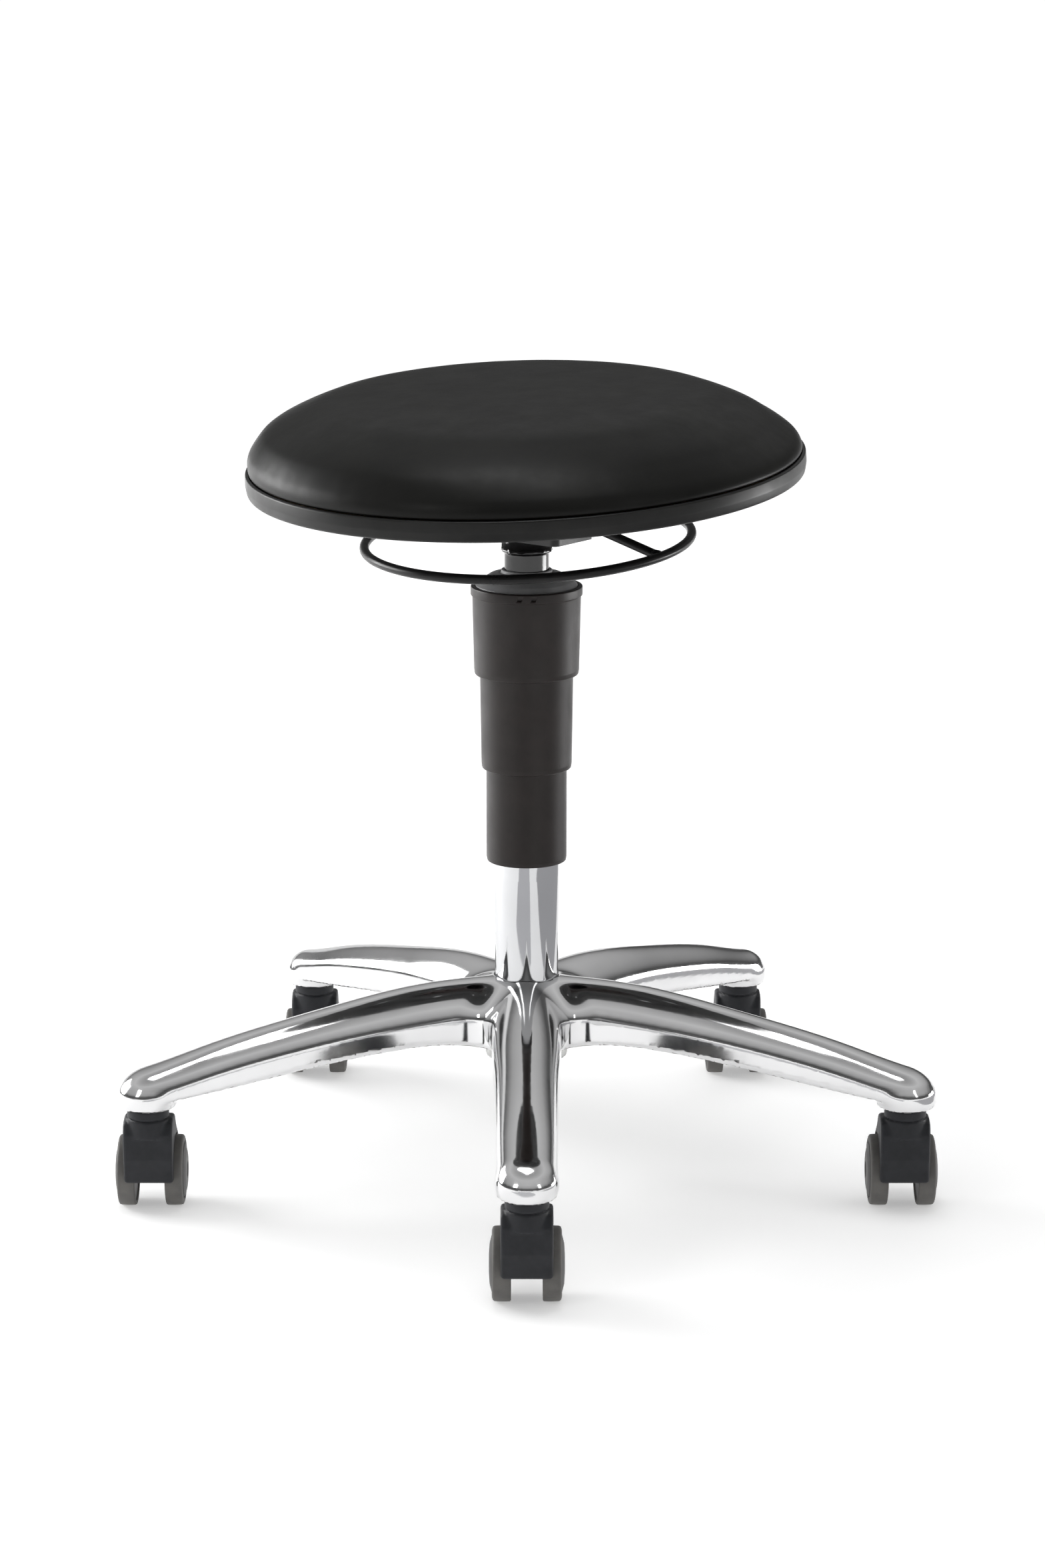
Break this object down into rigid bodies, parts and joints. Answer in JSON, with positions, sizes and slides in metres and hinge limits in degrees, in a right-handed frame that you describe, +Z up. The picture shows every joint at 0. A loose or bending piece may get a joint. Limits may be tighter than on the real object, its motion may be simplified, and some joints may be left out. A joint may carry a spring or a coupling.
{
  "type": "adjustable swivel stool",
  "caption": "Round padded stool on a gas column with a telescopic cover, ring height release and a polished star base on swivelling twin-wheel casters.",
  "frame": {"origin": "on the floor under the column axis", "axes": "+Z up along the column; one leg points along -Y; the casters trail towards +Y"},
  "size_m": [0.6012, 0.5944, 0.5966],
  "materials": {
    "polished_aluminium": "mirror polished",
    "spring_steel": "satin",
    "chrome_tube": "mirror chrome",
    "black_nylon": "matt",
    "hard_chrome": "ground and chromed",
    "brass": "turned",
    "rubber": "matt",
    "steel": "satin",
    "black_enamel": "gloss enamel",
    "cover_plastic": "fine matt grain",
    "grey_plastic": "satin",
    "black_powder_coat": "satin powder coat",
    "ring_paint": "satin black",
    "plywood": "raw plywood",
    "zinc_steel": "zinc plated",
    "band_plastic": "satin",
    "foam": "open-cell foam",
    "black_leather": "smooth satin leather",
    "hood_plastic": "fine matt grain",
    "wheel_plastic": "soft matt tread"
  },
  "bodies": {
    "base": {"star_base": "polished_aluminium", "stand_tube": "chrome_tube", "guide_bush": "black_nylon", "stem_grip_rings": "spring_steel"},
    "piston_rod": {"piston_rod": "hard_chrome", "piston": "brass", "bump_stop": "rubber", "thrust_washers": "steel", "bearing_balls": "steel", "ball_cage": "steel", "retaining_clip": "spring_steel"},
    "column_head": {"gas_cylinder": "black_enamel", "rod_guide": "black_nylon", "valve_body": "brass", "cover_upper": "cover_plastic", "cover_cap": "grey_plastic", "cone_socket": "black_enamel", "release_housing": "black_powder_coat", "rocker_pin": "steel", "tilt_pin": "steel"},
    "seat": {"seat_plate": "black_powder_coat", "seat_board": "plywood", "seat_screws": "zinc_steel", "t_nuts": "zinc_steel", "seat_band": "band_plastic", "seat_foam": "foam", "seat_cover": "black_leather"},
    "cover_middle": {"cover_middle": "cover_plastic"},
    "cover_lower": {"cover_lower": "cover_plastic"},
    "release_rocker": {"release_rocker": "steel"},
    "release_ring": {"release_ring": "ring_paint", "ring_crossbar": "ring_paint"},
    "valve_pin": {"valve_pin": "steel"},
    "caster_1": {"caster_hood_1": "hood_plastic", "caster_stem_1": "steel", "caster_axle_1": "steel"},
    "wheel_left_1": {"wheel_left_1": "wheel_plastic"},
    "wheel_right_1": {"wheel_right_1": "wheel_plastic"},
    "caster_2": {"caster_hood_2": "hood_plastic", "caster_stem_2": "steel", "caster_axle_2": "steel"},
    "wheel_left_2": {"wheel_left_2": "wheel_plastic"},
    "wheel_right_2": {"wheel_right_2": "wheel_plastic"},
    "caster_3": {"caster_hood_3": "hood_plastic", "caster_stem_3": "steel", "caster_axle_3": "steel"},
    "wheel_left_3": {"wheel_left_3": "wheel_plastic"},
    "wheel_right_3": {"wheel_right_3": "wheel_plastic"},
    "caster_4": {"caster_hood_4": "hood_plastic", "caster_stem_4": "steel", "caster_axle_4": "steel"},
    "wheel_left_4": {"wheel_left_4": "wheel_plastic"},
    "wheel_right_4": {"wheel_right_4": "wheel_plastic"},
    "caster_5": {"caster_hood_5": "hood_plastic", "caster_stem_5": "steel", "caster_axle_5": "steel"},
    "wheel_left_5": {"wheel_left_5": "wheel_plastic"},
    "wheel_right_5": {"wheel_right_5": "wheel_plastic"}
  },
  "joints": [
    {"name": "seat_swivel", "type": "hinge", "parent": "base", "child": "piston_rod", "pos_m": [0, 0, 0.067], "axis": [0, 0, 1], "continuous": true},
    {"name": "seat_lift", "type": "slide", "parent": "piston_rod", "child": "column_head", "axis": [0, 0, 1], "range_m": [-0.13, 0]},
    {"name": "cover_middle_slide", "type": "slide", "parent": "column_head", "child": "cover_middle", "axis": [0, 0, 1], "range_m": [0, 0.03]},
    {"name": "cover_lower_slide", "type": "slide", "parent": "cover_middle", "child": "cover_lower", "axis": [0, 0, 1], "range_m": [0, 0.03]},
    {"name": "release_lever", "type": "hinge", "parent": "column_head", "child": "release_rocker", "pos_m": [0.02679, -0.02093, 0.4915], "axis": [-0.6157, -0.788, 0], "range_deg": [0, 4], "stiffness_Nm_per_rad": 6, "springref_deg": -6.88},
    {"name": "valve_press", "type": "slide", "parent": "column_head", "child": "valve_pin", "axis": [0, 0, 1], "range_m": [-0.003, 0]},
    {"name": "seat_tilt", "type": "hinge", "parent": "column_head", "child": "seat", "pos_m": [0, 0, 0.516], "axis": [0.788, -0.6157, 0], "range_deg": [-10.7, 2.3]},
    {"name": "ring_roll", "type": "hinge", "parent": "release_rocker", "child": "release_ring", "pos_m": [0, 0, 0.5], "axis": [-0.788, 0.6157, 0], "range_deg": [0, 9]},
    {"name": "caster_swivel_1", "type": "hinge", "parent": "base", "child": "caster_1", "pos_m": [0, -0.2885, 0.08], "axis": [0, 0, 1], "continuous": true},
    {"name": "wheel_left_spin_1", "type": "hinge", "parent": "caster_1", "child": "wheel_left_1", "pos_m": [0, -0.2665, 0.026], "axis": [1, 0, 0], "continuous": true},
    {"name": "wheel_right_spin_1", "type": "hinge", "parent": "caster_1", "child": "wheel_right_1", "pos_m": [0, -0.2665, 0.026], "axis": [1, 0, 0], "continuous": true},
    {"name": "caster_swivel_2", "type": "hinge", "parent": "base", "child": "caster_2", "pos_m": [0.27438, -0.08915, 0.08], "axis": [0, 0, 1], "continuous": true},
    {"name": "wheel_left_spin_2", "type": "hinge", "parent": "caster_2", "child": "wheel_left_2", "pos_m": [0.27438, -0.06715, 0.026], "axis": [1, 0, 0], "continuous": true},
    {"name": "wheel_right_spin_2", "type": "hinge", "parent": "caster_2", "child": "wheel_right_2", "pos_m": [0.27438, -0.06715, 0.026], "axis": [1, 0, 0], "continuous": true},
    {"name": "caster_swivel_3", "type": "hinge", "parent": "base", "child": "caster_3", "pos_m": [0.16958, 0.2334, 0.08], "axis": [0, 0, 1], "continuous": true},
    {"name": "wheel_left_spin_3", "type": "hinge", "parent": "caster_3", "child": "wheel_left_3", "pos_m": [0.16958, 0.2554, 0.026], "axis": [1, 0, 0], "continuous": true},
    {"name": "wheel_right_spin_3", "type": "hinge", "parent": "caster_3", "child": "wheel_right_3", "pos_m": [0.16958, 0.2554, 0.026], "axis": [1, 0, 0], "continuous": true},
    {"name": "caster_swivel_4", "type": "hinge", "parent": "base", "child": "caster_4", "pos_m": [-0.16958, 0.2334, 0.08], "axis": [0, 0, 1], "continuous": true},
    {"name": "wheel_left_spin_4", "type": "hinge", "parent": "caster_4", "child": "wheel_left_4", "pos_m": [-0.16958, 0.2554, 0.026], "axis": [1, 0, 0], "continuous": true},
    {"name": "wheel_right_spin_4", "type": "hinge", "parent": "caster_4", "child": "wheel_right_4", "pos_m": [-0.16958, 0.2554, 0.026], "axis": [1, 0, 0], "continuous": true},
    {"name": "caster_swivel_5", "type": "hinge", "parent": "base", "child": "caster_5", "pos_m": [-0.27438, -0.08915, 0.08], "axis": [0, 0, 1], "continuous": true},
    {"name": "wheel_left_spin_5", "type": "hinge", "parent": "caster_5", "child": "wheel_left_5", "pos_m": [-0.27438, -0.06715, 0.026], "axis": [1, 0, 0], "continuous": true},
    {"name": "wheel_right_spin_5", "type": "hinge", "parent": "caster_5", "child": "wheel_right_5", "pos_m": [-0.27438, -0.06715, 0.026], "axis": [1, 0, 0], "continuous": true}
  ],
  "couplings": [
    {"joint": "cover_middle_slide", "follows": "seat_lift", "ratio": -0.2},
    {"joint": "cover_lower_slide", "follows": "seat_lift", "ratio": -0.2},
    {"joint": "valve_press", "follows": "release_lever", "m_per_rad": -0.034}
  ]
}
